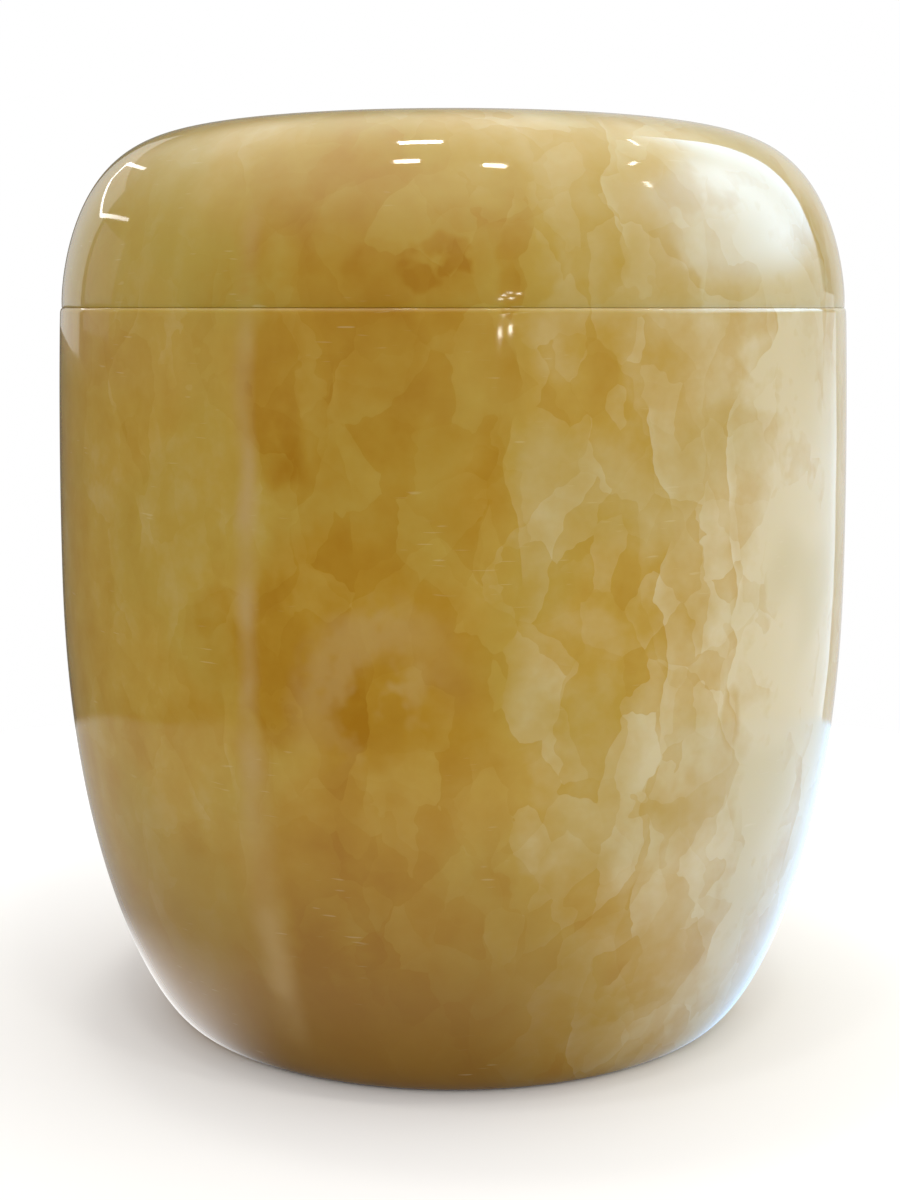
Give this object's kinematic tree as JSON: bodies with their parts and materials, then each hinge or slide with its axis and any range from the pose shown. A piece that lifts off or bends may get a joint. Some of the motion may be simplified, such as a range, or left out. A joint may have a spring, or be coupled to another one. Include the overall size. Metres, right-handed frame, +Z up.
{
  "type": "cremation urn",
  "caption": "Polished honey onyx cremation urn: a barrel-shaped vessel that narrows to its foot, closed by a low domed lid that lifts off.",
  "frame": {"origin": "centre of the flat underside", "axes": "+Z up the urn's axis of revolution; +Y away from the picture's camera, +X to its right"},
  "size_m": [0.22, 0.22, 0.247],
  "materials": {
    "onyx_body": "highly polished, translucent honey onyx with pale lilac veins",
    "onyx_lid": "highly polished, translucent honey onyx, paler over the crown"
  },
  "bodies": {
    "root": {"urn_body": "onyx_body", "urn_lid": "onyx_lid"}
  },
  "joints": []
}
